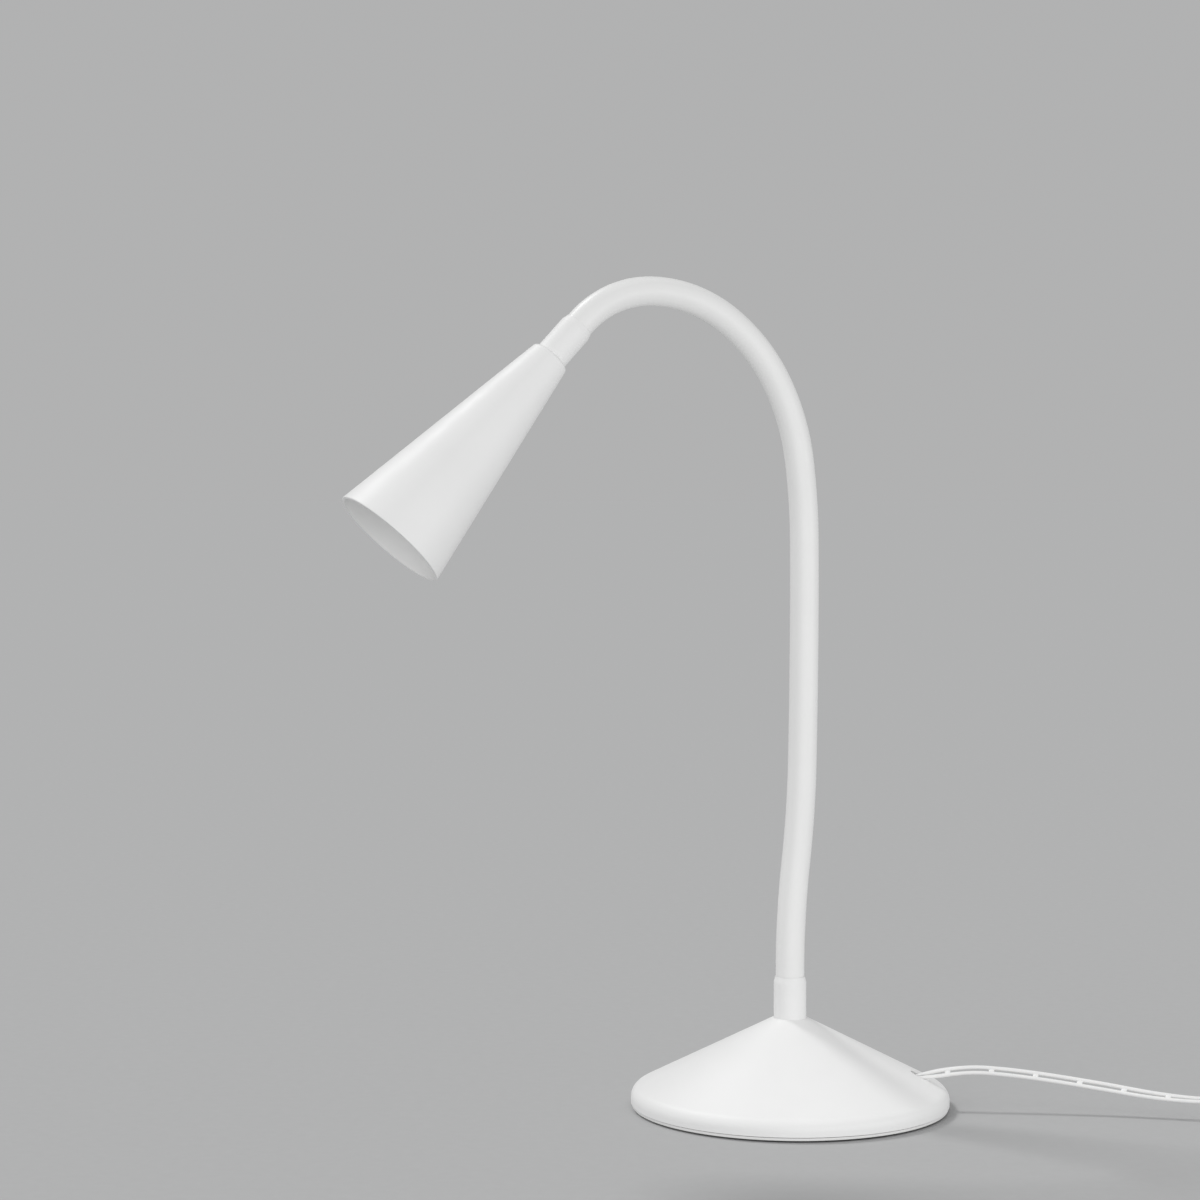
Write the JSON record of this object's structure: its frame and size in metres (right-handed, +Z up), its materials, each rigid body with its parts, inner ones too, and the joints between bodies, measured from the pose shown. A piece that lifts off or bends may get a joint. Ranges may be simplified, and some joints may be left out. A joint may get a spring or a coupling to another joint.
{
  "type": "gooseneck desk lamp",
  "caption": "White gooseneck desk lamp with a weighted conical round base, a flexible neck, a small conical shade and a twin mains cord with rocker switch and plug.",
  "frame": {"origin": "centre of the round base on the surface that it stands on", "axes": "+Z up; +X to the right in the pictured view, towards the cord; +Y away from the viewer. The head leans to 201 degrees from +X."},
  "size_m": [0.563, 0.1721, 0.3889],
  "materials": {
    "white_paint": "satin white powder coat",
    "white_sleeve": "satin white sleeve",
    "neck_steel": "brushed",
    "ballast": "cast",
    "inner_plastic": "satin",
    "foot_rubber": "matt",
    "cord_rubber": "matt",
    "plated_steel": "zinc plated",
    "brass_metal": "nickel plated",
    "cord_white": "satin white insulation",
    "switch_white": "gloss",
    "sink_metal": "as cast",
    "led_yellow": "matt phosphor",
    "reflector_white": "gloss",
    "lens_opal": "opal diffuser"
  },
  "bodies": {
    "base": {"base_cover": "white_paint", "base_plate": "inner_plastic", "base_weight": "ballast", "foot_pad": "foot_rubber", "base_screws": "plated_steel", "stem_ferrule": "plated_steel", "stem_nut": "plated_steel", "lock_washer": "plated_steel", "lower_collar": "white_paint", "cord_grommet": "cord_rubber", "cord_clamp": "inner_plastic", "clamp_screws": "plated_steel", "terminal_block": "inner_plastic", "base_lead": "cord_white", "neck_core_01": "neck_steel", "neck_sleeve_01": "white_sleeve", "neck_lead": "cord_white", "cord_run": "cord_white", "cord_link": "cord_white", "cord_coil": "cord_white", "cord_tail": "cord_white", "cord_tie": "cord_white", "switch_bottom": "switch_white", "switch_top": "switch_white", "switch_contacts": "brass_metal", "switch_screws": "plated_steel", "plug_case": "switch_white", "plug_pins": "brass_metal"},
    "neck_02": {"neck_core_02": "neck_steel", "neck_sleeve_02": "white_sleeve"},
    "neck_03": {"neck_core_03": "neck_steel", "neck_sleeve_03": "white_sleeve"},
    "neck_04": {"neck_core_04": "neck_steel", "neck_sleeve_04": "white_sleeve"},
    "neck_05": {"neck_core_05": "neck_steel", "neck_sleeve_05": "white_sleeve"},
    "neck_06": {"neck_core_06": "neck_steel", "neck_sleeve_06": "white_sleeve"},
    "neck_07": {"neck_core_07": "neck_steel", "neck_sleeve_07": "white_sleeve"},
    "neck_08": {"neck_core_08": "neck_steel", "neck_sleeve_08": "white_sleeve"},
    "neck_09": {"neck_core_09": "neck_steel", "neck_sleeve_09": "white_sleeve"},
    "neck_10": {"neck_core_10": "neck_steel", "neck_sleeve_10": "white_sleeve"},
    "head": {"upper_collar": "white_paint", "upper_ferrule": "plated_steel", "shade": "white_paint", "shade_nut": "plated_steel", "heat_sink": "sink_metal", "led_board": "sink_metal", "led_chip": "led_yellow", "reflector": "reflector_white", "lens": "lens_opal", "lens_ring": "reflector_white", "board_screws": "plated_steel", "neck_core_11": "neck_steel", "neck_sleeve_11": "white_sleeve"},
    "rocker": {"switch_rocker": "switch_white"}
  },
  "joints": [
    {"name": "neck_lower_bend", "type": "hinge", "parent": "base", "child": "neck_02", "pos_m": [0, 0, 0.0661], "axis": [0.3584, -0.9336, 0], "range_deg": [-14, 10], "deforming": ["neck_sleeve_01", "neck_lead"]},
    {"name": "neck_lower_sway", "type": "hinge", "parent": "neck_02", "child": "neck_03", "pos_m": [0.00264, 0.00102, 0.11599], "axis": [-0.9276, -0.3561, 0.1132], "range_deg": [-25, 25], "deforming": ["neck_sleeve_02"]},
    {"name": "neck_lower_bend_b", "type": "hinge", "parent": "neck_03", "child": "neck_04", "pos_m": [0.0057, 0.00219, 0.16587], "axis": [0.3584, -0.9336, 0], "range_deg": [-14, 10], "deforming": ["neck_sleeve_03"]},
    {"name": "neck_lower_bend_c", "type": "hinge", "parent": "neck_04", "child": "neck_05", "pos_m": [0.00631, 0.00242, 0.21586], "axis": [0.3584, -0.9336, 0], "range_deg": [-14, 10], "deforming": ["neck_sleeve_04"]},
    {"name": "neck_arch_bend", "type": "hinge", "parent": "neck_05", "child": "neck_06", "pos_m": [0.00631, 0.00242, 0.26586], "axis": [0.3584, -0.9336, 0], "range_deg": [-20, 5], "deforming": ["neck_sleeve_05"]},
    {"name": "neck_arch_bend_b", "type": "hinge", "parent": "neck_06", "child": "neck_07", "pos_m": [0.00377, 0.00145, 0.30474], "axis": [0.3584, -0.9336, 0], "range_deg": [-20, 5], "deforming": ["neck_sleeve_06"]},
    {"name": "neck_arch_bend_c", "type": "hinge", "parent": "neck_07", "child": "neck_08", "pos_m": [-0.00742, -0.00285, 0.34163], "axis": [0.3584, -0.9336, 0], "range_deg": [-20, 5], "deforming": ["neck_sleeve_07"]},
    {"name": "neck_tip_bend", "type": "hinge", "parent": "neck_08", "child": "neck_09", "pos_m": [-0.03145, -0.01207, 0.37046], "axis": [0.3584, -0.9336, 0], "range_deg": [-20, 12], "deforming": ["neck_sleeve_08"]},
    {"name": "neck_tip_sway", "type": "hinge", "parent": "neck_09", "child": "neck_10", "pos_m": [-0.0656, -0.02518, 0.38217], "axis": [-0.0081, -0.0031, -1], "range_deg": [-25, 25], "deforming": ["neck_sleeve_09"]},
    {"name": "neck_tip_bend_b", "type": "hinge", "parent": "neck_10", "child": "head", "pos_m": [-0.09811, -0.03766, 0.36722], "axis": [0.3584, -0.9336, 0], "range_deg": [-20, 12], "deforming": ["neck_sleeve_10", "neck_sleeve_11"]},
    {"name": "switch_rocker", "type": "hinge", "parent": "base", "child": "rocker", "pos_m": [0.23294, -0.03939, 0.0146], "axis": [0.2588, 0.9659, 0], "range_deg": [-14, 0]}
  ],
  "couplings": [
    {"joint": "neck_lower_bend_b", "follows": "neck_lower_bend", "ratio": 1},
    {"joint": "neck_lower_bend_c", "follows": "neck_lower_bend", "ratio": 1},
    {"joint": "neck_arch_bend_b", "follows": "neck_arch_bend", "ratio": 1},
    {"joint": "neck_arch_bend_c", "follows": "neck_arch_bend", "ratio": 1},
    {"joint": "neck_tip_bend_b", "follows": "neck_tip_bend", "ratio": 1}
  ]
}
